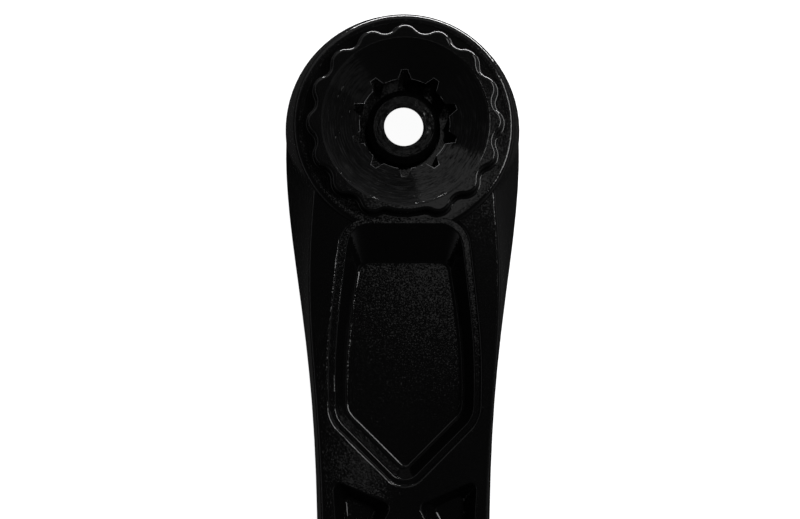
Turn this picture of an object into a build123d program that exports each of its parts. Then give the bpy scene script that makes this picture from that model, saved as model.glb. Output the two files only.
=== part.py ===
# A forged bicycle crank arm with its captive spindle bolt, in millimetres.
# The arm lies on its outboard face: +Z is inboard, the spindle axis is X = Y = 0,
# and the arm runs towards -Y to the pedal eye.
import math
import os

from build123d import *

# Arm: lengths run down the arm from the spindle axis
crank_length = 165.0
arm_root_inset = 0.2
shoulder_distance = 20.0
shoulder_half_width = 23.3
neck_distance = 43.0
neck_half_width = 20.3
shank_distance = 72.0
shank_half_width = 18.1
shank_stations = 4
arm_eye_inset = 0.1
plateau_shoulder_inset = 4.3
plateau_neck_inset = 1.1
plateau_inset = 0.8
plateau_height = 23.2
plateau_eye_height = 14.0
plateau_bend = 24.0
plateau_crown = 0.7
side_hollow = 1.0
parting_height = 13.0
parting_eye_height = 7.0
outboard_draft = 7.0
plateau_edge_radius = 0.9
parting_radius = 1.2
outboard_edge_radius = 2.0

# Boss: the forged round at the spindle end and the collar on its inboard face
boss_radius = 24.35
boss_setback = 0.1
boss_inboard_draft = 9.0
boss_edge_radius = 1.2
collar_height = 24.4
spot_face_margin = 1.08
spot_face_depth = 0.25

# Wave rim: the scalloped ring that stands on the spot face
wave_height = 29.0
wave_count = 16
wave_wall = 1.23
wave_swing = 0.72
wave_trough_radius = 2.7
wave_flat_wall = 1.35
wave_edge_radius = 0.7
wave_foot_radius = 0.7
wave_round_share = 0.45

# Dish and splined socket, machined from the inboard side
dish_radius = 16.7
dish_depth = 4.5
dish_edge_chamfer = 0.35
spline_count = 10
spline_land_radius = 9.15
spline_notch_depth = 1.75
spline_notch_mouth = 2.6
spline_notch_tip = 1.2
socket_floor_height = 12.0

# Bolt seat, machined from the outboard side
seat_height = 9.0
puller_bore_radius = 10.5
puller_chamfer = 0.6

# Captive bolt, hollow, with a hexagon socket
bolt_radius = 7.5
bolt_tip_height = 20.0
bolt_tip_chamfer = 1.2
head_side_clearance = 0.6
bolt_head_thickness = 5.5
bolt_head_chamfer = 0.5
bolt_wall = 1.9
bolt_end_wall = 2.0
bolt_end_hole_radius = 4.05
hex_across_flats = 12.0
hex_depth = 5.0
shank_clearance = 0.4
head_clearance = 0.3

# Extractor ring, screwed into the puller bore to hold the bolt in
ring_recess = 0.4
key_clearance = 0.27
ring_chamfer = 0.4
ring_fit = 0.08
spanner_hole_radius = 0.9
spanner_hole_depth = 1.8

# Pedal eye
eye_radius = 16.4
eye_draft = 5.0
eye_edge_radius = 1.6
eye_pad_radius = 12.0
eye_rise = 0.4
eye_pad_height = 0.5
pedal_bore_radius = 7.15
pedal_chamfer = 0.5

# Main pocket: a shield with a square point towards the pedal
pocket_top = 19.1
pocket_tip = 75.4
pocket_tip_length = 29.4
pocket_top_half_width = 12.5
pocket_widest_half_width = 15.5
pocket_low_half_width = 15.2
pocket_side_radius = 120.0
side_run_share = 0.98
pocket_depth = 6.0
pocket_wall_run = 3.2
pocket_top_run = 9.0
pocket_ledge = 1.2
pocket_ledge_depth = 0.6
pocket_top_corner = 6.0
pocket_side_corner = 7.0
pocket_tip_corner = 4.7
pocket_rim_radius = 0.6
pocket_ledge_radius = 0.4
pocket_floor_radius = 1.0

# Side pockets and the lower pocket of the truss below it
truss_depth = 5.0
truss_draft = 22.0
truss_corner = 1.2
side_pocket_gap = 0.2
side_pocket_margin = 5.7
side_pocket_inner_gap = 3.2
side_pocket_inner_half_width = 5.8
side_pocket_length = 14.4
side_pocket_bottom_margin = 6.6
lower_pocket_taper = 22.0
lower_pocket_half_width = 10.2
lower_pocket_eye_gap = 25.0
lower_pocket_bottom_half_width = 8.6
truss_rim_radius = 0.45
truss_floor_radius = 0.8

# Widths, heights and planes that follow from the sizes above
arm_root_half_width = boss_radius - arm_root_inset
eye_half_width = eye_radius - arm_eye_inset
plateau_root_half_width = shoulder_half_width - plateau_shoulder_inset
plateau_neck_half_width = neck_half_width - plateau_neck_inset
plateau_slope = math.degrees(math.atan2(plateau_height - plateau_eye_height, crank_length - plateau_bend))
plateau_plane = Plane((0, -plateau_bend, plateau_height)).rotated((plateau_slope, 0, 0))
ledge_plane = plateau_plane.offset(-pocket_ledge_depth)
pocket_floor_plane = plateau_plane.offset(-pocket_depth)
truss_floor_plane = plateau_plane.offset(-truss_depth)
truss_mouth_plane = plateau_plane.offset(2 * plateau_crown)
pocket_widest_distance = pocket_tip - pocket_tip_length
side_pocket_top = pocket_tip + side_pocket_gap
side_pocket_inner_distance = pocket_tip + side_pocket_inner_gap
side_pocket_bottom = side_pocket_top + side_pocket_length
side_pocket_half_width = shank_half_width - side_pocket_margin
side_pocket_bottom_half_width = shank_half_width - side_pocket_bottom_margin
lower_pocket_apex = side_pocket_bottom
lower_pocket_shoulder = lower_pocket_apex + lower_pocket_taper
lower_pocket_bottom = crank_length - lower_pocket_eye_gap
truss_spread = (truss_depth + 2 * plateau_crown) * math.tan(math.radians(truss_draft))
dish_rim_radius = dish_radius + dish_edge_chamfer
wave_step = 360 / wave_count
wave_trough_reach = dish_rim_radius + wave_wall
wave_crest_reach = wave_trough_reach + 2 * wave_swing
wave_flat_reach = dish_rim_radius + wave_flat_wall
spot_face_radius = wave_crest_reach + spot_face_margin
spot_face_height = collar_height - spot_face_depth
wave_stand = wave_height - spot_face_height
wave_round_limit = wave_round_share * wave_stand
eye_height = plateau_eye_height + plateau_crown + eye_rise
bolt_head_radius = puller_bore_radius - head_side_clearance
bolt_bore_radius = bolt_radius - bolt_wall
bolt_head_top = seat_height - head_clearance
bolt_head_bottom = bolt_head_top - bolt_head_thickness
ring_top = bolt_head_bottom - head_clearance
ring_radius = puller_bore_radius - ring_fit
ring_hole_radius = hex_across_flats / math.sqrt(3) + key_clearance
spanner_circle_radius = (ring_radius + ring_hole_radius) / 2
tolerance = 0.001


def plateau_at(distance):
    """Height of the plateau's edge at a distance down the arm."""
    past_bend = max(0.0, distance - plateau_bend)
    return plateau_height - past_bend * math.tan(math.radians(plateau_slope))


def parting_at(distance):
    """Height of the forging's parting line at a distance down the arm."""
    share = distance / crank_length
    return parting_height + share * (parting_eye_height - parting_height)


def base_half_width(half_width, parting):
    """Half width at the outboard face, drawn in from the parting line by the draft."""
    return half_width - parting * math.tan(math.radians(outboard_draft))


def arm_section(distance, half_width, plateau_half_width):
    """Cross section of the arm, square to its length."""
    parting = parting_at(distance)
    plateau = plateau_at(distance)
    base = base_half_width(half_width, parting)
    run = half_width - plateau_half_width
    rise = plateau - parting
    hollow = side_hollow * run / math.hypot(run, rise) ** 2
    side = (plateau_half_width + run / 2 - hollow * rise, parting + rise / 2 - hollow * run)
    with BuildSketch(Plane.XZ.offset(distance)) as section:
        with BuildLine():
            Line((-base, 0), (base, 0))
            Line((base, 0), (half_width, parting))
            ThreePointArc((half_width, parting), side, (plateau_half_width, plateau))
            ThreePointArc(
                (plateau_half_width, plateau), (0, plateau + plateau_crown), (-plateau_half_width, plateau)
            )
            ThreePointArc((-plateau_half_width, plateau), (-side[0], side[1]), (-half_width, parting))
            Line((-half_width, parting), (-base, 0))
        make_face()
    return section.sketch


def forged_round(distance, radius, parting, height, draft, edge_radius):
    """Half profile of a forged round end that tapers both ways from its parting line."""
    base = base_half_width(radius, parting)
    top = radius - (height - parting) * math.tan(math.radians(draft))
    with BuildSketch(Plane.XZ.offset(distance)) as profile:
        with BuildLine():
            FilletPolyline(
                (0, 0),
                (base, 0),
                (radius, parting),
                (top, height),
                (0, height),
                radius=[outboard_edge_radius, parting_radius, edge_radius],
            )
            Line((0, height), (0, 0))
        make_face()
    return profile.sketch


def shield(plane, inset, top_inset):
    """Outline of the main pocket, drawn in by an inset, with its own inset at the top."""
    top = plateau_bend - pocket_top - top_inset
    widest = plateau_bend - pocket_widest_distance
    tip = plateau_bend - pocket_tip + inset * math.sqrt(2)
    low_half_width = pocket_low_half_width - inset
    widest_half_width = pocket_widest_half_width - inset
    top_half_width = pocket_top_half_width - inset
    low = tip + low_half_width
    corners = [pocket_top_corner, pocket_side_radius, pocket_side_corner, pocket_tip_corner]
    top_radius, side_radius, low_radius, tip_radius = [radius - inset for radius in corners]
    # The long side curve ends within the straight run that is left below it
    lean = math.atan2(widest_half_width - low_half_width, widest - low)
    turn = lean + math.atan2(widest_half_width - top_half_width, top - widest)
    straight = widest - low - low_radius * math.tan((math.radians(45) - lean) / 2)
    side_radius = min(side_radius, side_run_share * straight / math.tan(turn / 2))
    with BuildSketch(plane) as outline:
        with BuildLine():
            FilletPolyline(
                (-top_half_width, top),
                (top_half_width, top),
                (widest_half_width, widest),
                (low_half_width, low),
                (0, tip),
                (-low_half_width, low),
                (-widest_half_width, widest),
                close=True,
                radius=[top_radius, top_radius, side_radius, low_radius, tip_radius, low_radius, side_radius],
            )
        make_face()
    return outline.sketch


def long_edges(arm):
    """Edges that run the length of the arm, from the outboard face up."""
    return arm.edges().filter_by(lambda edge: edge.length > crank_length / 2).sort_by(Axis.Z)


def arm_point(half_width, distance):
    """A point on the sloping plateau plane, from its place across and down the arm."""
    return (half_width, plateau_bend - distance)


def truss(plane, spread):
    """Outlines of the two side pockets and the lower pocket, spread out from their floors."""
    with BuildSketch(plane) as outlines:
        with BuildLine():
            Polyline(
                arm_point(side_pocket_half_width, side_pocket_top),
                arm_point(side_pocket_inner_half_width, side_pocket_inner_distance),
                arm_point(side_pocket_bottom_half_width, side_pocket_bottom),
                close=True,
            )
        make_face()
        mirror(about=Plane.YZ)
        with BuildLine():
            Polyline(
                arm_point(0, lower_pocket_apex),
                arm_point(lower_pocket_half_width, lower_pocket_shoulder),
                arm_point(lower_pocket_bottom_half_width, lower_pocket_bottom),
                arm_point(-lower_pocket_bottom_half_width, lower_pocket_bottom),
                arm_point(-lower_pocket_half_width, lower_pocket_shoulder),
                close=True,
            )
        make_face()
        if spread > 0:
            offset(amount=spread, kind=Kind.INTERSECTION)
        fillet(outlines.vertices(), radius=truss_corner)
    return outlines.sketch.faces().sort_by(Axis.X)


def edges_above(plane, edges):
    """Edges with both ends above a plane."""
    return edges.filter_by(
        lambda edge: min(plane.to_local_coords(end.center()).Z for end in edge.vertices()) > tolerance
    )


def faces_on(plane, part):
    """Flat faces that lie in a plane."""
    return part.faces().filter_by(GeomType.PLANE).filter_by(
        lambda face: abs(plane.to_local_coords(face.center()).Z) < tolerance
        and abs(face.normal_at().dot(plane.z_dir)) > 1 - tolerance
    )


def outboard_rim(arm, radius):
    """The round edge of a given radius on the outboard face."""
    rims = arm.edges().filter_by(GeomType.CIRCLE).group_by(Axis.Z)[0]
    return rims.filter_by(lambda edge: math.isclose(edge.radius, radius))


def wave_joint(reach):
    """Where a crest's arc runs into the next trough's arc, for a crest on the X axis."""
    trough_center = Vector(wave_trough_reach + wave_trough_radius, 0).rotate(Axis.Z, wave_step / 2)
    span = reach**2 + trough_center.length**2 - 2 * reach * trough_center.X - wave_trough_radius**2
    crest_radius = span / (2 * (reach + wave_trough_radius - trough_center.X))
    crest_center = Vector(reach - crest_radius, 0)
    return crest_center + (trough_center - crest_center) * (crest_radius / (crest_radius + wave_trough_radius))


def wave_arcs():
    """Arcs of the wave rim, with a crest straight up and the crest towards the arm cut low."""
    reaches = [wave_crest_reach] * wave_count
    reaches[wave_count // 2] = wave_flat_reach
    for crest, reach in enumerate(reaches):
        turn = 90 + crest * wave_step
        joint = wave_joint(reach)
        next_joint = wave_joint(reaches[(crest + 1) % wave_count])
        start = Vector(joint.X, -joint.Y).rotate(Axis.Z, turn)
        end = joint.rotate(Axis.Z, turn)
        next_start = Vector(next_joint.X, -next_joint.Y).rotate(Axis.Z, turn + wave_step)
        ThreePointArc(start, Vector(reach, 0).rotate(Axis.Z, turn), end)
        ThreePointArc(end, Vector(wave_trough_reach, 0).rotate(Axis.Z, turn + wave_step / 2), next_start)


# Stations from the spindle to the pedal; the shank tapers evenly to the eye
arm_stations = [
    (0, arm_root_half_width, plateau_root_half_width),
    (shoulder_distance, shoulder_half_width, plateau_root_half_width),
    (neck_distance, neck_half_width, plateau_neck_half_width),
]
for step in range(shank_stations + 1):
    share = step / shank_stations
    distance = shank_distance + share * (crank_length - shank_distance)
    half_width = shank_half_width + share * (eye_half_width - shank_half_width)
    arm_stations.append((distance, half_width, half_width - plateau_inset))

# The main pocket's own form: an open ledge, then sloping walls down to the floor
with BuildPart() as pocket_cutter:
    extrude(shield(ledge_plane, 0, 0), amount=wave_height)
    pocket_rim = shield(ledge_plane, pocket_ledge, pocket_ledge)
    pocket_floor = shield(pocket_floor_plane, pocket_wall_run, pocket_top_run)
    loft([pocket_rim, pocket_floor], ruled=True)
    fillet(faces_on(pocket_floor_plane, pocket_cutter).edges(), radius=pocket_floor_radius)
    ledge = faces_on(ledge_plane, pocket_cutter).sort_by(SortBy.AREA)[-1]
    fillet(ledge.inner_wires()[0].edges(), radius=pocket_ledge_radius)

with BuildPart() as crank_arm:
    # Forged arm
    loft([arm_section(*station) for station in arm_stations])
    fillet(long_edges(crank_arm)[2:4], radius=parting_radius)
    fillet(long_edges(crank_arm)[-2:], radius=plateau_edge_radius)
    fillet(long_edges(crank_arm)[:2], radius=outboard_edge_radius)

    # Rims of the pockets, rounded while the plateau is still whole
    extrude(shield(ledge_plane, 0, 0), amount=wave_height, mode=Mode.SUBTRACT)
    fillet(edges_above(ledge_plane, crank_arm.edges(Select.LAST)), radius=pocket_rim_radius)
    for mouth, floor in zip(truss(truss_mouth_plane, truss_spread), truss(truss_floor_plane, 0)):
        loft([mouth, floor], ruled=True, mode=Mode.SUBTRACT)
        fillet(edges_above(truss_floor_plane, crank_arm.edges(Select.LAST)), radius=truss_rim_radius)
    fillet(faces_on(truss_floor_plane, crank_arm).edges(), radius=truss_floor_radius)

    # Forged boss and pedal eye
    boss_profile = forged_round(
        boss_setback, boss_radius, parting_height, collar_height, boss_inboard_draft, boss_edge_radius
    )
    revolve(boss_profile, axis=Axis((0, -boss_setback, 0), (0, 0, 1)))
    eye_profile = forged_round(
        crank_length, eye_radius, parting_eye_height, eye_height, eye_draft, eye_edge_radius
    )
    revolve(eye_profile, axis=Axis((0, -crank_length, 0), (0, 0, 1)))

    # Spot face, and the wave rim on it
    with BuildSketch(Plane.XY.offset(spot_face_height)):
        Circle(spot_face_radius)
    extrude(amount=wave_height, mode=Mode.SUBTRACT)
    with BuildSketch(Plane.XY.offset(spot_face_height)):
        with BuildLine():
            wave_arcs()
        make_face()
    extrude(amount=wave_stand)
    wave_foot = crank_arm.edges(Select.LAST).group_by(Axis.Z)[0]
    fillet(wave_foot, radius=min(wave_foot_radius, wave_round_limit))
    wave_top = crank_arm.faces().sort_by(Axis.Z)[-1]
    fillet(wave_top.edges(), radius=min(wave_edge_radius, wave_round_limit))

    # Main pocket, also through the boss
    add(pocket_cutter.part, mode=Mode.SUBTRACT)

    # Dish and splined socket
    with BuildSketch(Plane.XZ):
        with BuildLine():
            Polyline(
                (0, wave_height),
                (dish_rim_radius, wave_height),
                (dish_radius, wave_height - dish_edge_chamfer),
                (spline_land_radius, wave_height - dish_depth),
                (0, wave_height - dish_depth),
                close=True,
            )
        make_face()
    revolve(axis=Axis.Z, mode=Mode.SUBTRACT)
    with BuildSketch(Plane.XY.offset(socket_floor_height)):
        Circle(spline_land_radius)
        with PolarLocations(spline_land_radius, spline_count, start_angle=90):
            Polygon(
                (-spline_notch_mouth, spline_notch_mouth / 2),
                (0, spline_notch_mouth / 2),
                (spline_notch_depth, spline_notch_tip / 2),
                (spline_notch_depth, -spline_notch_tip / 2),
                (0, -spline_notch_mouth / 2),
                (-spline_notch_mouth, -spline_notch_mouth / 2),
                align=None,
            )
    extrude(amount=wave_height, mode=Mode.SUBTRACT)

    # Bolt seat from the outboard side
    with Locations(Plane.XY.rotated((180, 0, 0))):
        CounterBoreHole(
            radius=bolt_radius + shank_clearance,
            counter_bore_radius=puller_bore_radius,
            counter_bore_depth=seat_height,
            depth=wave_height,
        )
    chamfer(outboard_rim(crank_arm, puller_bore_radius), length=puller_chamfer)

    # Pedal pad and pedal bore
    with BuildSketch(Plane((0, -crank_length, eye_height))):
        Circle(eye_pad_radius)
    extrude(amount=eye_pad_height)
    with Locations((0, -crank_length, eye_height + eye_pad_height)):
        CounterSinkHole(pedal_bore_radius, pedal_bore_radius + pedal_chamfer, counter_sink_angle=90)
    chamfer(outboard_rim(crank_arm, pedal_bore_radius), length=pedal_chamfer)

crank_arm.part.label = "crank_arm"

with BuildPart() as crank_bolt:
    with BuildSketch(Plane.XZ):
        with BuildLine():
            Polyline(
                (0, bolt_head_bottom),
                (bolt_head_radius - bolt_head_chamfer, bolt_head_bottom),
                (bolt_head_radius, bolt_head_bottom + bolt_head_chamfer),
                (bolt_head_radius, bolt_head_top),
                (bolt_radius, bolt_head_top),
                (bolt_radius, bolt_tip_height - bolt_tip_chamfer),
                (bolt_radius - bolt_tip_chamfer, bolt_tip_height),
                (0, bolt_tip_height),
                close=True,
            )
        make_face()
    revolve(axis=Axis.Z)
    with BuildSketch(Plane.XY.offset(bolt_head_bottom)):
        Circle(bolt_bore_radius)
    extrude(amount=bolt_tip_height - bolt_end_wall - bolt_head_bottom, mode=Mode.SUBTRACT)
    with BuildSketch(Plane.XY.offset(bolt_head_bottom)):
        RegularPolygon(hex_across_flats / 2, 6, major_radius=False, rotation=30)
    extrude(amount=hex_depth, mode=Mode.SUBTRACT)
    with Locations((0, 0, bolt_tip_height)):
        Hole(bolt_end_hole_radius)
crank_bolt.part.label = "crank_bolt"

with BuildPart() as extractor_ring:
    with BuildSketch(Plane.XY.offset(ring_recess)):
        Circle(ring_radius)
        Circle(ring_hole_radius, mode=Mode.SUBTRACT)
    extrude(amount=ring_top - ring_recess)
    chamfer(extractor_ring.faces().sort_by(Axis.Z)[0].edges(), length=ring_chamfer)
    with BuildSketch(Plane.XY.offset(ring_recess)):
        with PolarLocations(spanner_circle_radius, 2):
            Circle(spanner_hole_radius)
    extrude(amount=spanner_hole_depth, mode=Mode.SUBTRACT)
extractor_ring.part.label = "extractor_ring"

os.makedirs("parts", exist_ok=True)
for piece in (crank_arm, crank_bolt, extractor_ring):
    export_step(piece.part, f"parts/{piece.part.label}.step")
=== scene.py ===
import math

import bmesh
import bpy
from mathutils import Matrix, Vector


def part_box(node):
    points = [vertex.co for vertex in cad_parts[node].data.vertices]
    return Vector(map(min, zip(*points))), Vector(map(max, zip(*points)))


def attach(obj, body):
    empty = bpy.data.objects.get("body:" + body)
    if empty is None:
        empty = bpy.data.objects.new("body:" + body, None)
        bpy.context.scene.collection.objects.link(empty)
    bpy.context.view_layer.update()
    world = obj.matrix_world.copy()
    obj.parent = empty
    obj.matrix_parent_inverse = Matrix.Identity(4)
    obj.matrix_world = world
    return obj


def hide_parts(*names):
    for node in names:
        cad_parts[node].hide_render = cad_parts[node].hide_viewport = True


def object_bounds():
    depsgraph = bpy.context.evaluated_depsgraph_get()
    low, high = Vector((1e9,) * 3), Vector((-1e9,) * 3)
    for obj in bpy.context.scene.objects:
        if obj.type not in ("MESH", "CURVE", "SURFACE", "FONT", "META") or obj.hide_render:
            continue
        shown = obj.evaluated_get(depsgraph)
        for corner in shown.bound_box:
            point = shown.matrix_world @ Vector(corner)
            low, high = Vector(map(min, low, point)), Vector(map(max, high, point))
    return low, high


mm = 0.001
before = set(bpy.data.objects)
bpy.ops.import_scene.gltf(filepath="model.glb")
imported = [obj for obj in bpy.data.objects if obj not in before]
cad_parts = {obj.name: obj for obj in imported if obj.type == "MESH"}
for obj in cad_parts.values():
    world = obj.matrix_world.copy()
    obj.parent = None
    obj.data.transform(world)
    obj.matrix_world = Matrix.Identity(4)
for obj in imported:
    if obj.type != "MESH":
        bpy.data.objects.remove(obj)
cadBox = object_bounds()
print("frame loaded:", ", ".join(sorted(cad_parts)))


class Wire:
    # one shader or geometry socket: + - * / on it add Math nodes to its tree
    def __init__(self, tree, socket=None):
        self.tree = tree
        self.socket = socket

    def node(self, kind, settings=None, inputs=None, output=0):
        made = self.tree.nodes.new(kind)
        for name, value in (settings or {}).items():
            setattr(made, name, value)
        for name, value in (inputs or {}).items():
            if isinstance(value, Wire):
                self.tree.links.new(value.socket, made.inputs[name])
            else:
                made.inputs[name].default_value = value
        return Wire(self.tree, made.outputs[output])

    def also(self, output):
        # another output of the same node
        return Wire(self.tree, self.socket.node.outputs[output])

    def math(self, operation, first, second=0.0, third=0.0):
        return self.node("ShaderNodeMath", {"operation": operation}, {0: first, 1: second, 2: third})

    def __add__(self, other):
        return self.math("ADD", self, other)

    def __radd__(self, other):
        return self.math("ADD", other, self)

    def __sub__(self, other):
        return self.math("SUBTRACT", self, other)

    def __rsub__(self, other):
        return self.math("SUBTRACT", other, self)

    def __mul__(self, other):
        return self.math("MULTIPLY", self, other)

    def __rmul__(self, other):
        return self.math("MULTIPLY", other, self)

    def __truediv__(self, other):
        return self.math("DIVIDE", self, other)

    def __lt__(self, other):
        return self.math("LESS_THAN", self, other)

    def __gt__(self, other):
        return self.math("GREATER_THAN", self, other)

    def __abs__(self):
        return self.math("ABSOLUTE", self)

    def root(self):
        return self.math("SQRT", self)

    def least(self, other):
        return self.math("MINIMUM", self, other)

    def most(self, other):
        return self.math("MAXIMUM", self, other)

    def blend(self, zero, one):
        # plain number mix: zero where this is 0, one where it is 1
        return zero + self * (one - zero)

    def shared(self, other, share=0.5):
        # a mix of two patterns, an even one unless this one's share is given
        return share * self + (1 - share) * other

    def swing(self, size):
        # a pattern from 0 to 1, made to swing from -size to size
        return (self - 0.5) * (2 * size)

    def between(self, low, high):
        # smooth step from 0 at low to 1 at high
        return self.node(
            "ShaderNodeMapRange",
            {"interpolation_type": "SMOOTHSTEP"},
            {"Value": self, "From Min": low, "From Max": high},
        )

    def tint(self, zero, one):
        # colour mix by this value
        return self.node("ShaderNodeMix", {"data_type": "RGBA"}, {0: self, 6: zero, 7: one}, output=2)

    def point(self, x, y, z=0.0):
        return self.node("ShaderNodeCombineXYZ", {}, {0: x, 1: y, 2: z})


def grey(level, blueness=1.02):
    return (level, level, level * blueness, 1.0)


def newFinish(name, constants):
    # a material with one Principled shader; constants go on its own sockets
    material = bpy.data.materials.new(name)
    material.use_nodes = True
    tree = material.node_tree
    shader = tree.nodes["Principled BSDF"]
    for socket, value in constants.items():
        shader.inputs[socket].default_value = value
    return material, Wire(tree), shader


def feed(shader, wires):
    for socket, wire in wires.items():
        wire.tree.links.new(wire.socket, shader.inputs[socket])


def addObject(name, data):
    made = bpy.data.objects.new(name, data)
    bpy.context.scene.collection.objects.link(made)
    return made


def objectPlace(paint):
    # the surface point in millimetres: the vector itself, then x, y and z
    place = paint.node("ShaderNodeTexCoord", output="Object")
    vector = paint.node("ShaderNodeVectorMath", {"operation": "SCALE"}, {0: place, "Scale": 1 / mm})
    x = paint.node("ShaderNodeSeparateXYZ", {}, {0: vector})
    return vector, x, x.also("Y"), x.also("Z")


def noise(paint, vector, size, detail=2.0, roughness=0.55, dimensions="3D"):
    # size is the width of one blotch in the vector's own units
    return paint.node(
        "ShaderNodeTexNoise",
        {"noise_dimensions": dimensions},
        {"Vector": vector, "Scale": 1 / size, "Detail": detail, "Roughness": roughness},
    )


def grooves(paint, radius, pitch):
    # turned rings: a noise along the radius alone
    return paint.node(
        "ShaderNodeTexNoise",
        {"noise_dimensions": "1D"},
        {"W": radius / pitch, "Scale": 1.0, "Detail": 3.0, "Roughness": 0.6},
    )


markRadius = 10.0  # a turned mark has its stated length at this radius
evenGrain = (0.5, 0.5, 0.5)  # the mean colour of a noise


def arcs(paint, x, y, radius, width, length):
    # short turned marks: a noise that runs long round Z and narrow along the radius
    angle = paint.math("ARCTAN2", y, x)
    place = paint.point(radius / width, angle * (markRadius / length))
    return noise(paint, place, 1.0, roughness=0.6, dimensions="2D")


def leaned(paint, x, y, radius, slope, grain, sparkle):
    # the surface normal, leaned along the radius by a slope and every way by the colour of a grain
    outward = paint.point(x / radius * slope, y / radius * slope)
    rough = paint.node("ShaderNodeVectorMath", {"operation": "SUBTRACT"}, {0: grain, 1: evenGrain})
    tilt = paint.node("ShaderNodeVectorMath", {"operation": "SCALE"}, {0: rough, "Scale": sparkle})
    world = paint.node(
        "ShaderNodeVectorTransform",
        {"vector_type": "VECTOR", "convert_from": "OBJECT", "convert_to": "WORLD"},
        {0: paint.node("ShaderNodeVectorMath", {"operation": "ADD"}, {0: outward, 1: tilt})},
    )
    plain = paint.node("ShaderNodeNewGeometry", output="Normal")
    total = paint.node("ShaderNodeVectorMath", {"operation": "ADD"}, {0: plain, 1: world})
    return paint.node("ShaderNodeVectorMath", {"operation": "NORMALIZE"}, {0: total})


def bumped(paint, strength, height, normal):
    # a height in millimetres on top of a leaned normal
    return paint.node(
        "ShaderNodeBump",
        {},
        {"Strength": strength, "Distance": mm, "Height": height, "Normal": normal},
    )


# Arm: blasted black, with turned and broached faces at the boss and the pedal eye
armLook = {
    "gloss": {"IOR": 1.5, "Specular IOR Level": 0.5},
    "blastGrain": 0.30,  # width of one pit
    "blastMottle": 9.0,  # width of one cloudy patch
    "blastBump": 0.35,
    "blastDepth": 0.004,
    "blastSparkle": 0.11,  # lean of the pits' walls
    "blastColour": (0.004, 0.009),
    "blastRoughness": (0.08, 0.13),
    "grainInColour": 0.6,  # the rest of the shade is mottle
    "turnPitch": 0.16,
    "turnDepth": 0.0015,
    "turnWander": 0.25,
    "turnSparkle": 0.044,
    "turnColour": (0.005, 0.011),
    "turnRoughness": (0.06, 0.11),
    "bruise": 1.4,
    "dishPitch": 0.09,
    "dishWander": 0.1,
    "dishSlope": 0.42,
    "ringsInDish": 0.2,  # the rest of the slope is short marks
    "markWidth": 0.26,
    "markLength": 2.6,
    "rimLean": 0.25,  # the chamfer round the dish is shaded as if it leaned in less
    "wornColour": 0.60,
    "wornRoughness": 0.3,
    "wornWidth": 0.14,
    "wornCore": 0.3,  # the share of that width with full wear
    "wornDepth": 0.16,
    "wornPatch": 1.6,
    "wornFrom": (0.42, 0.60),
    "edgeSlack": 0.05,  # how far a finish reaches past its face
}

bossForm = {
    "spotFaceRadius": 20.8,
    "spotFaceHeight": 24.15,
    "rimRadius": 17.05,
    "rimSlack": 0.02,
    "dishRadius": 16.7,
    "dishTop": 28.65,
    "dishFloor": 24.5,
    "landRadius": 9.15,
    "notchDepth": 1.75,
    "notchMouth": 2.6,
    "notchTip": 1.2,
    "notchCount": 10,
    "tipSlack": 0.1,
    "socketRadius": 11.2,  # just past the notches
    "socketRise": 1.0,  # the notches climb the dish by this much
}

pedalForm = {
    "distance": 165.0,
    "padRadius": 12.0,
    "padHeight": 15.6,
    "boreRadius": 7.15,
    "chamfer": 0.5,
}


def splineWear(paint, x, y, z, radius):
    # thin lines along the mouth of the splined socket, where the spindle has rubbed
    form = bossForm
    look = armLook
    away = 9.0  # added where a line isn't wanted
    land = form["landRadius"]
    tip = land + form["notchDepth"]
    step = 2 * math.pi / form["notchCount"]
    angle = paint.math("ARCTAN2", y, x) - math.pi / 2
    turn = paint.math("WRAP", angle, step / 2, -step / 2)
    outward = radius * paint.math("COSINE", turn)
    across = abs(radius * paint.math("SINE", turn))
    lean = (form["notchMouth"] - form["notchTip"]) / 2 / form["notchDepth"]
    side = form["notchMouth"] / 2 - (outward - land) * lean
    inNotch = across < side + look["wornWidth"]
    toSide = abs(across - side) + away * (outward < land)
    toTip = abs(outward - tip) + away * (1 - inNotch)
    toLand = abs(radius - land) + away * (across < side)
    nearest = toSide.least(toTip).least(toLand) + away * (outward > tip + form["tipSlack"])
    onLine = 1 - nearest.between(look["wornCore"] * look["wornWidth"], look["wornWidth"])
    rise = (form["dishTop"] - form["dishFloor"]) / (form["dishRadius"] - land)
    cone = form["dishFloor"] + (radius - land) * rise
    onMouth = abs(z - cone) < look["wornDepth"]
    patchy = noise(paint, paint.point(x, y, z), look["wornPatch"])
    return onMouth * onLine * patchy.between(*look["wornFrom"])


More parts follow.
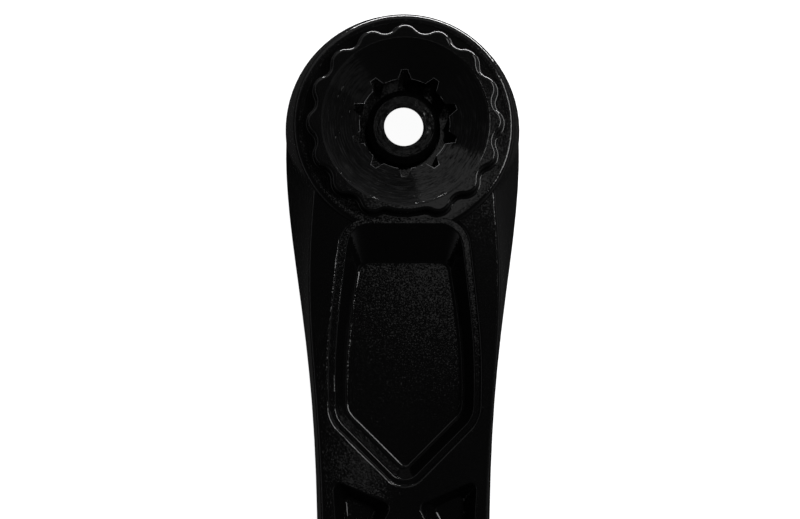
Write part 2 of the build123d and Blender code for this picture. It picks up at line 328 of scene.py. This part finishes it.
def armFinish():
    look = armLook
    material, paint, shader = newFinish("armBlack", look["gloss"])
    vector, x, y, z = objectPlace(paint)
    radius = (x * x + y * y).root()
    pedalY = y + pedalForm["distance"]
    pedalRadius = (x * x + pedalY * pedalY).root()

    # where each finish lies
    slack = look["edgeSlack"]
    boss = (radius < bossForm["spotFaceRadius"]) * (z > bossForm["spotFaceHeight"] - slack)
    socket = (radius < bossForm["socketRadius"]) * (z < bossForm["dishFloor"] + bossForm["socketRise"])
    pad = (pedalRadius < pedalForm["padRadius"]) * (z > pedalForm["padHeight"] - slack)
    bore = pedalRadius < pedalForm["boreRadius"] + pedalForm["chamfer"] + slack
    turned = boss.most(socket).most(pad).most(bore)
    dish = (radius < bossForm["dishRadius"]) * (z > bossForm["dishFloor"] - slack)
    rimBand = (radius > bossForm["dishRadius"]) * (radius < bossForm["rimRadius"] + bossForm["rimSlack"])
    rim = rimBand * (z > bossForm["dishTop"] - slack)
    worn = splineWear(paint, x, y, z, radius)

    # the patterns
    grain = noise(paint, vector, look["blastGrain"], detail=0.0)
    mottle = noise(paint, vector, look["blastMottle"], detail=4.0)
    bruise = noise(paint, vector, look["bruise"], detail=5.0, roughness=0.65)
    streaks = grooves(paint, radius.least(pedalRadius) + mottle * look["turnWander"], look["turnPitch"])
    rings = grooves(paint, radius + mottle * look["dishWander"], look["dishPitch"])
    marks = arcs(paint, x, y, radius, look["markWidth"], look["markLength"])

    blastShade = grain.shared(mottle, look["grainInColour"]).tint(*map(grey, look["blastColour"]))
    turnShade = streaks.shared(bruise).tint(*map(grey, look["turnColour"]))
    colour = worn.tint(turned.tint(blastShade, turnShade), grey(look["wornColour"]))
    blastRough = grain.shared(mottle).blend(*look["blastRoughness"])
    turnRough = streaks.shared(bruise).blend(*look["turnRoughness"])
    roughness = worn.blend(turned.blend(blastRough, turnRough), look["wornRoughness"])

    height = turned.blend(grain * look["blastDepth"], (streaks + bruise) * look["turnDepth"])
    dishSlope = rings.shared(marks, look["ringsInDish"]).swing(look["dishSlope"])
    slope = dish * dishSlope + rim * look["rimLean"]
    sparkle = turned.blend(look["blastSparkle"], look["turnSparkle"])
    normal = leaned(paint, x, y, radius, slope, grain.also("Color"), sparkle)
    bump = bumped(paint, look["blastBump"], height, normal)
    feed(shader, {"Base Color": colour, "Roughness": roughness, "Metallic": worn, "Normal": bump})
    return material


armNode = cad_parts["crank_arm"]
armNode.data.materials[0] = armFinish()
print("arm finished")


# Captive bolt: hollow, threaded, turned and blackened
boltForm = {
    "segments": 120,
    "shankRadius": 7.5,
    "headThickness": 5.5,
    "headChamfer": 0.5,
    "tipChamfer": 1.2,
    "boreRadius": 5.6,
    "endWall": 2.0,
    "endHoleRadius": 4.05,
    "edgeBreak": 0.08,
    "hexAcrossFlats": 12.0,
    "hexDepth": 5.0,
    "hexLeadIn": 1.13,  # in half widths across the flats, as the next one
    "hexSurround": 1.3,
    "hexLeadInDepth": 0.6,
    "threadPitch": 1.0,
    "threadDepth": 0.6,
    "threadRows": 14,
    "threadTopGap": 0.5,
    "threadBottomGap": 1.2,
    "weld": 0.002,
    "smoothAngle": 15,
}
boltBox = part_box("crank_bolt")

threadForm = {
    "steepness": 1.35,  # above 1, the crests and roots are flat
    "runOut": 0.6,  # in pitches, at both ends
    "weld": 0.001,
}


def threadTree():
    # a threaded sleeve: a grid rolled up round Z, its radius a sloping wave with flat tops
    tree = bpy.data.node_groups.new("threadSleeve", "GeometryNodeTree")
    face = tree.interface
    face.new_socket("Geometry", in_out="OUTPUT", socket_type="NodeSocketGeometry")
    for name, kind in (
        ("Segments", "NodeSocketInt"),
        ("Rows", "NodeSocketInt"),
        ("End Radius", "NodeSocketFloat"),
        ("Root Radius", "NodeSocketFloat"),
        ("Crest Radius", "NodeSocketFloat"),
        ("Pitch", "NodeSocketFloat"),
        ("Length", "NodeSocketFloat"),
        ("Place", "NodeSocketVector"),
        ("Finish", "NodeSocketMaterial"),
    ):
        face.new_socket(name, in_out="INPUT", socket_type=kind)
    paint = Wire(tree)
    given = paint.node("NodeGroupInput")
    pitch = given.also("Pitch")
    length = given.also("Length")
    grid = paint.node(
        "GeometryNodeMeshGrid",
        {},
        {
            "Size X": 1.0,
            "Size Y": 1.0,
            "Vertices X": given.also("Segments"),
            "Vertices Y": given.also("Rows"),
        },
    )
    across = paint.node("ShaderNodeSeparateXYZ", {}, {0: paint.node("GeometryNodeInputPosition")})
    around = across + 0.5  # turns, from 0 to 1
    along = across.also("Y") + 0.5  # share of the length
    rise = along * length
    phase = paint.math("FRACT", rise / pitch - around + 1.0)
    wave = 1 - abs(2 * phase - 1)
    steepness = threadForm["steepness"]
    flank = (wave * steepness - (steepness - 1) / 2).most(0.0).least(1.0)
    fade = (along.least(1 - along) * length / (pitch * threadForm["runOut"])).least(1.0)
    cut = flank.blend(given.also("Root Radius"), given.also("Crest Radius"))
    radius = fade.blend(given.also("End Radius"), cut)
    angle = around * (2 * math.pi)
    spot = paint.point(radius * paint.math("COSINE", angle), radius * paint.math("SINE", angle), rise)
    rolled = paint.node("GeometryNodeSetPosition", {}, {"Geometry": grid, "Position": spot})
    closed = paint.node(
        "GeometryNodeMergeByDistance", {}, {"Geometry": rolled, "Distance": threadForm["weld"] * mm}
    )
    placed = paint.node("GeometryNodeTransform", {}, {"Geometry": closed, "Translation": given.also("Place")})
    real = paint.node("GeometryNodeRealizeInstances", {}, {0: placed})
    finished = paint.node("GeometryNodeSetMaterial", {}, {"Geometry": real, "Material": given.also("Finish")})
    leave = tree.nodes.new("NodeGroupOutput")
    tree.links.new(finished.socket, leave.inputs["Geometry"])
    return tree


def threadMesh(tree, name, values):
    # run the tree on an empty mesh and keep the plain result
    holder = addObject(name, bpy.data.meshes.new(name))
    modifier = holder.modifiers.new("thread", "NODES")
    modifier.node_group = tree
    for item in tree.interface.items_tree:
        if item.in_out == "INPUT":
            modifier[item.identifier] = values[item.name]
    graph = bpy.context.evaluated_depsgraph_get()
    mesh = bpy.data.meshes.new_from_object(holder.evaluated_get(graph))
    bpy.data.objects.remove(holder)
    return mesh


def lathe(mesh, rings, segments):
    # rings of points joined by quads; a ring's radius is a number or a function of the angle
    loops = []
    for radius, height in rings:
        loop = []
        for step in range(segments):
            angle = 2 * math.pi * step / segments
            reach = radius(angle) if callable(radius) else radius
            x = reach * math.cos(angle) * mm
            y = reach * math.sin(angle) * mm
            loop.append(mesh.verts.new((x, y, height * mm)))
        loops.append(loop)
    for lower, upper in zip(loops, loops[1:]):
        for step in range(segments):
            after = (step + 1) % segments
            mesh.faces.new((lower[step], lower[after], upper[after], upper[step]))


def broken(profile, size):
    # a profile with each inner corner cut off by a small flat
    points = [profile[0]]
    for before, corner, after in zip(profile, profile[1:], profile[2:]):
        here = Vector(corner)
        for end in (before, after):
            run = Vector(end) - here
            points.append(tuple(here + run.normalized() * min(size, run.length / 3)))
    return points + [profile[-1]]


def boltRings(form, low, high):
    # two stretches of the bolt's section: the head up to the thread, and the tip above it, back down the bore
    half = form["hexAcrossFlats"] / 2
    surround = half * form["hexSurround"]
    headRadius = boltBox[1].x / mm
    headTop = low + form["headThickness"]
    threadLow = headTop + form["threadBottomGap"]
    threadHigh = high - form["tipChamfer"] - form["threadTopGap"]

    def hexagon(angle):
        return half / math.cos((angle + math.pi / 6) % (math.pi / 3) - math.pi / 6)

    def hexMouth(angle):
        return max(hexagon(angle), half * form["hexLeadIn"])

    outer = broken(
        [
            (surround, low),
            (headRadius - form["headChamfer"], low),
            (headRadius, low + form["headChamfer"]),
            (headRadius, headTop - form["headChamfer"]),
            (headRadius - form["headChamfer"], headTop),
            (form["shankRadius"], headTop),
            (form["shankRadius"], threadLow),
        ],
        form["edgeBreak"],
    )
    inner = broken(
        [
            (form["shankRadius"], threadHigh),
            (form["shankRadius"], high - form["tipChamfer"]),
            (form["shankRadius"] - form["tipChamfer"], high),
            (form["endHoleRadius"], high),
            (form["endHoleRadius"], high - form["endWall"]),
            (form["boreRadius"], high - form["endWall"]),
            (form["boreRadius"], low + form["hexDepth"]),
        ],
        form["edgeBreak"],
    )
    socket = [
        (hexagon, low + form["hexDepth"]),
        (hexagon, low + form["hexLeadInDepth"]),
        (hexMouth, low),
        (surround, low),
    ]
    return outer, inner + socket, threadLow, threadHigh


def smoothBy(mesh, degrees):
    mesh.polygons.foreach_set("use_smooth", [True] * len(mesh.polygons))
    mesh.set_sharp_from_angle(angle=math.radians(degrees))


# what the turned finishes of the bolt and the ring share
turnedForm = {
    "gloss": {"IOR": 1.5},
    "marksInSlope": 0.6,  # the rest of the slope is bruises
    "ringsInRoughness": 0.6,
    "ringWander": 0.15,
    "scratchTurn": (0, 0, 0.6),
    "scratchSqueeze": (9.0, 0.8, 1.0),
    "scratchFrom": (0.60, 0.74),
    "bruiseFrom": (0.45, 0.65),
}


def turnedFinish(name, look):
    # turned and blackened: rings round Z on the faces, fine scratches and rubbed spots
    form = turnedForm
    material, paint, shader = newFinish(name, form["gloss"])
    vector, x, y, z = objectPlace(paint)
    radius = (x * x + y * y).root()
    bruise = noise(paint, vector, look["bruise"], detail=5.0, roughness=0.65)
    marks = arcs(paint, x, y, radius, look["markWidth"], look["markLength"])
    slope = marks.shared(bruise, form["marksInSlope"]).swing(look["slope"])
    rings = grooves(paint, radius + z + bruise * form["ringWander"], look["pitch"])
    squeezed = paint.node(
        "ShaderNodeMapping",
        {},
        {"Vector": vector, "Rotation": form["scratchTurn"], "Scale": form["scratchSqueeze"]},
    )
    scratch = noise(paint, squeezed, 1.0, detail=3.0)
    rubbed = scratch.between(*form["scratchFrom"]) * bruise.between(*form["bruiseFrom"])
    shade = rings.shared(bruise).tint(*map(grey, look["colour"]))
    colour = (rubbed * look["rub"]).tint(shade, grey(look["rubColour"]))
    roughness = rings.shared(bruise, form["ringsInRoughness"]).blend(*look["roughness"])
    height = rings * look["depth"] + scratch * look["scratchDepth"]
    normal = leaned(paint, x, y, radius, slope, bruise.also("Color"), look["dents"])
    bump = bumped(paint, look["bump"], height, normal)
    feed(shader, {"Base Color": colour, "Roughness": roughness, "Normal": bump})
    return material


boltLook = {
    "bruise": 0.9,
    "pitch": 0.14,
    "markWidth": 0.24,
    "markLength": 4.0,
    "slope": 0.40,
    "dents": 0.22,
    "colour": (0.003, 0.008),
    "rub": 0.6,
    "rubColour": 0.05,
    "roughness": (0.12, 0.26),
    "bump": 0.35,
    "depth": 0.006,
    "scratchDepth": 0.010,
}


def makeBolt(tree, finish):
    form = boltForm
    low = boltBox[0].z / mm
    high = boltBox[1].z / mm
    outer, inner, threadLow, threadHigh = boltRings(form, low, high)
    turns = (threadHigh - threadLow) / form["threadPitch"]
    sleeve = threadMesh(
        tree,
        "boltThread",
        {
            "Segments": form["segments"] + 1,
            "Rows": round(turns * form["threadRows"]) + 1,
            "End Radius": form["shankRadius"] * mm,
            "Root Radius": (form["shankRadius"] - form["threadDepth"]) * mm,
            "Crest Radius": form["shankRadius"] * mm,
            "Pitch": form["threadPitch"] * mm,
            "Length": (threadHigh - threadLow) * mm,
            "Place": (0.0, 0.0, threadLow * mm),
            "Finish": finish,
        },
    )
    shape = bmesh.new()
    shape.from_mesh(sleeve)
    lathe(shape, outer, form["segments"])
    lathe(shape, inner, form["segments"])
    bmesh.ops.remove_doubles(shape, verts=shape.verts, dist=form["weld"] * mm)
    bmesh.ops.recalc_face_normals(shape, faces=shape.faces)
    mesh = bpy.data.meshes.new("hollowBolt")
    shape.to_mesh(mesh)
    shape.free()
    mesh.materials.clear()
    mesh.materials.append(finish)
    smoothBy(mesh, form["smoothAngle"])
    return addObject("hollowBolt", mesh)


threads = threadTree()
bolt = makeBolt(threads, turnedFinish("boltBlack", boltLook))
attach(bolt, "bolt")
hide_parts("crank_bolt")
print("bolt made:", len(bolt.data.polygons), "faces")


# Extractor ring: turned, black anodised
ringLook = {
    "bruise": 1.2,
    "pitch": 0.18,
    "markWidth": 0.24,
    "markLength": 6.0,
    "slope": 0.20,
    "dents": 0.10,
    "colour": (0.006, 0.014),
    "rub": 0.4,
    "rubColour": 0.08,
    "roughness": (0.26, 0.42),
    "bump": 0.30,
    "depth": 0.006,
    "scratchDepth": 0.006,
}
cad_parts["extractor_ring"].data.materials[0] = turnedFinish("ringBlack", ringLook)
print("ring finished")


# Pedal thread: a right-hand thread standing in from the wall of the eye's bore
pedalThreadForm = {
    "segments": 120,
    "rows": 14,
    "pitch": 1.27,
    "depth": 0.62,
    "wallGap": 0.03,
    "endGap": 0.15,
    "smoothAngle": 35,
}


def makePedalThread(tree, finish):
    form = pedalThreadForm
    wall = pedalForm["boreRadius"] - form["wallGap"]
    low = pedalForm["chamfer"] + form["endGap"]
    high = pedalForm["padHeight"] - pedalForm["chamfer"] - form["endGap"]
    mesh = threadMesh(
        tree,
        "pedalThread",
        {
            "Segments": form["segments"] + 1,
            "Rows": round((high - low) / form["pitch"] * form["rows"]) + 1,
            "End Radius": wall * mm,
            "Root Radius": (wall - form["wallGap"]) * mm,
            "Crest Radius": (wall - form["depth"]) * mm,
            "Pitch": form["pitch"] * mm,
            "Length": (high - low) * mm,
            "Place": (0.0, -pedalForm["distance"] * mm, low * mm),
            "Finish": finish,
        },
    )
    shape = bmesh.new()
    shape.from_mesh(mesh)
    ends = [edge for edge in shape.edges if edge.is_boundary]
    bmesh.ops.bridge_loops(shape, edges=ends)
    bmesh.ops.recalc_face_normals(shape, faces=shape.faces)
    shape.to_mesh(mesh)
    shape.free()
    smoothBy(mesh, form["smoothAngle"])
    return addObject("pedalThread", mesh)


pedalThread = makePedalThread(threads, armNode.data.materials[0])
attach(pedalThread, "arm")
print("pedal thread made:", len(pedalThread.data.polygons), "faces")


# Studio: a pale floor that the camera sees as white, a dim glow near the horizon, a few soft lights
studio = {
    "floorSize": 6000.0,
    "floorGap": 0.05,
    "floorColour": 0.80,
    "paperPatch": 60.0,
    "paperShade": 0.02,
    "floorWhite": 0.96,
    "floorInGloss": 0.015,  # so that the black sides stay black
    "zenith": 0.01,
    "horizon": 0.45,
    "horizonFall": 4.0,
    "horizonFront": (-0.95, -0.25),  # the glow fades out towards the pedal end
    "lampWatts": 4.0,  # for each square metre of lamp, at a brightness of 1
}


def floorFinish():
    material = bpy.data.materials.new("paleFloor")
    material.use_nodes = True
    tree = material.node_tree
    tree.nodes.clear()
    paint = Wire(tree)
    path = paint.node("ShaderNodeLightPath", output="Is Camera Ray")
    glow = path + path.also("Is Transmission Ray")
    paper = noise(paint, objectPlace(paint)[0], studio["paperPatch"])
    shade = paper.tint(grey(studio["floorColour"] - studio["paperShade"]), grey(studio["floorColour"]))
    matte = paint.node("ShaderNodeBsdfDiffuse", {}, {"Color": shade})
    white = paint.node("ShaderNodeEmission", {}, {"Strength": studio["floorWhite"] * glow})
    both = paint.node("ShaderNodeAddShader", {}, {0: matte, 1: white})
    mirrored = paint.node("ShaderNodeEmission", {}, {"Strength": studio["floorInGloss"]})
    seen = paint.node("ShaderNodeMixShader", {}, {0: path.also("Is Glossy Ray"), 1: both, 2: mirrored})
    leave = tree.nodes.new("ShaderNodeOutputMaterial")
    tree.links.new(seen.socket, leave.inputs["Surface"])
    return material


def makeFloor():
    half = studio["floorSize"] / 2 * mm
    depth = cadBox[0].z - studio["floorGap"] * mm
    mesh = bpy.data.meshes.new("floor")
    corners = [(-half, -half, depth), (half, -half, depth), (half, half, depth), (-half, half, depth)]
    mesh.from_pydata(corners, [], [(0, 1, 2, 3)])
    mesh.materials.append(floorFinish())
    return addObject("floor", mesh)


def makeSurround():
    # white to the camera; to everything else a glow that is strongest at the horizon
    world = bpy.data.worlds.new("surround")
    bpy.context.scene.world = world
    world.use_nodes = True
    tree = world.node_tree
    paint = Wire(tree)
    path = paint.node("ShaderNodeLightPath", output="Is Camera Ray")
    way = paint.node("ShaderNodeSeparateXYZ", {}, {0: paint.node("ShaderNodeTexCoord", output="Generated")})
    low = paint.math("POWER", 1 - abs(way.also("Z")), studio["horizonFall"])
    behind = way.also("Y").between(*studio["horizonFront"])
    glow = low * behind * studio["horizon"] + studio["zenith"]
    background = tree.nodes["Background"]
    background.inputs["Color"].default_value = grey(1.0)
    tree.links.new(path.blend(glow, 1.0).socket, background.inputs["Strength"])


def softLight(name, place, aim, width, height, brightness):
    # a rectangle that faces its aim; brightness is what a mirror would show of it
    lamp = bpy.data.lights.new(name, "AREA")
    lamp.shape = "RECTANGLE"
    lamp.size = width * mm
    lamp.size_y = height * mm
    lamp.energy = studio["lampWatts"] * brightness * lamp.size * lamp.size_y
    light = addObject(name, lamp)
    light.location = Vector(place) * mm
    light.rotation_euler = (Vector(place) - Vector(aim)).to_track_quat("Z", "Y").to_euler()
    light.visible_camera = False


# place, aim, width, height in millimetres, then brightness
studioLights = {
    "overhead": ((62, 6, 924), (0, 0, 26), 224, 56, 0.36),
    "plateauCard": ((205, 66, 924), (16, -24, 24), 70, 64, 0.40),
    "pocketCard": ((35, -18, 924), (0, -45, 16), 60, 80, 0.22),
    "rightHigh": ((370, 100, 735), (0, -30, 22), 420, 180, 4.2),
    "backStrip": ((60, 260, 32), (0, 15, 24), 400, 44, 28.0),
    "backLeft": ((-310, 500, 380), (0, -8, 26), 560, 170, 0.28),
    "frontRight": ((520, -320, 420), (0, -10, 26), 300, 180, 0.06),
    "smallCard": ((-70, -200, 900), (-10, -68, 20), 36, 36, 0.7),
    "backFill": ((0, 600, 800), (0, -20, 22), 800, 220, 0.35),
}

makeFloor()
makeSurround()
for name, values in studioLights.items():
    softLight(name, *values)
print("studio lit:", ", ".join(studioLights))


# Camera: almost straight down on the inboard side
viewForm = {
    "lens": 110.6,
    "sensor": 36.0,
    "distance": 500.0 * mm,
    "aim": (0.0, 0.0, 24.0 * mm),
    "tiltX": -3.81,
    "tiltY": 1.98,
    "roll": 0.05,
    "slide": (0.94 * mm, 27.59 * mm),
}


def makeCamera():
    form = viewForm
    turn = (
        Matrix.Rotation(math.radians(form["roll"]), 3, "Z")
        @ Matrix.Rotation(math.radians(form["tiltY"]), 3, "Y")
        @ Matrix.Rotation(math.radians(form["tiltX"]), 3, "X")
    ).transposed()
    lens = bpy.data.cameras.new("camera")
    lens.sensor_width = form["sensor"]
    lens.lens = form["lens"]
    camera = addObject("camera", lens)
    offset = Vector((-form["slide"][0], -form["slide"][1], form["distance"]))
    camera.matrix_world = Matrix.Translation(Vector(form["aim"]) + turn @ offset) @ turn.to_4x4()
    bpy.context.scene.camera = camera


makeCamera()
bpy.context.scene.view_settings.view_transform = "Standard"
print("camera placed")
